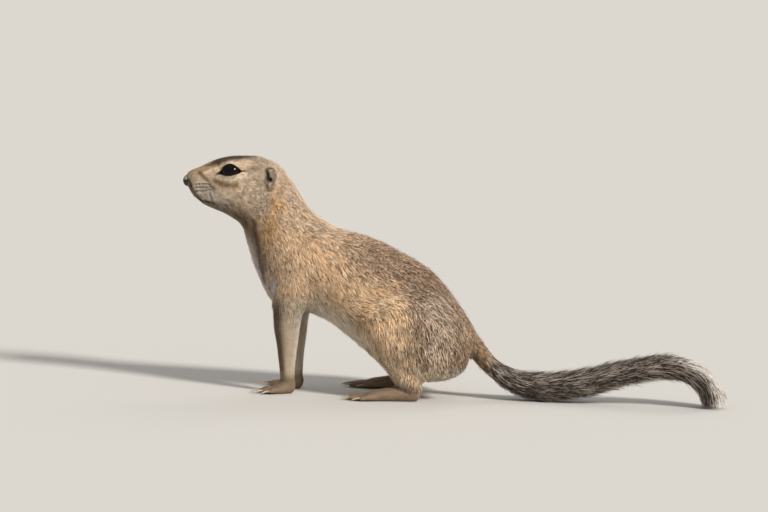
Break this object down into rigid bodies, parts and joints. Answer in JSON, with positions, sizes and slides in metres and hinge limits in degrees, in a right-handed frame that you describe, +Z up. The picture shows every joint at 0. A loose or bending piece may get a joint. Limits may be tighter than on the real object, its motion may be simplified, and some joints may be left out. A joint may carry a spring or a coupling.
{
  "type": "unstriped ground squirrel",
  "caption": "Life-size still model of an unstriped ground squirrel sitting on its haunches, forelegs straight, head raised, bushy tail laid out behind on the floor.",
  "frame": {"origin": "on the floor, under the middle of the whole animal's box", "axes": "+Z up; -X the way the nose points, so the tail lies along +X; the animal's left side is -Y"},
  "size_m": [0.3298, 0.084, 0.1406],
  "materials": {
    "coat_head": "short dense hair, sandy with dark flecks, pale round the eye",
    "coat_body": "coarse flat-lying hair, sandy grey above, warm tan on the flanks, dark flecks",
    "coat_tail": "long black and grey-white hair in streaks, with a pale fringe",
    "coat_leg": "very short pale hair",
    "eye": "wet gloss, near black",
    "nose": "bare grey skin, slightly moist",
    "claw": "dull horn"
  },
  "bodies": {
    "root": {"head": "coat_head", "neck": "coat_head", "trunk": "coat_body", "tail_base": "coat_tail", "tail_middle": "coat_tail", "tail_outer": "coat_tail", "tail_tip": "coat_tail", "eye_left": "eye", "ear_left": "coat_head", "upper_arm_left": "coat_body", "thigh_left": "coat_body", "forearm_left": "coat_leg", "shank_left": "coat_leg", "forefoot_left": "coat_leg", "hindfoot_left": "coat_leg", "fore_claw_left_1": "claw", "fore_claw_left_2": "claw", "fore_claw_left_3": "claw", "fore_claw_left_4": "claw", "hind_claw_left_1": "claw", "hind_claw_left_2": "claw", "hind_claw_left_3": "claw", "hind_claw_left_4": "claw", "hind_claw_left_5": "claw", "eye_right": "eye", "ear_right": "coat_head", "upper_arm_right": "coat_body", "thigh_right": "coat_body", "forearm_right": "coat_leg", "shank_right": "coat_leg", "forefoot_right": "coat_leg", "hindfoot_right": "coat_leg", "fore_claw_right_1": "claw", "fore_claw_right_2": "claw", "fore_claw_right_3": "claw", "fore_claw_right_4": "claw", "hind_claw_right_1": "claw", "hind_claw_right_2": "claw", "hind_claw_right_3": "claw", "hind_claw_right_4": "claw", "hind_claw_right_5": "claw", "nose": "nose"}
  },
  "joints": []
}
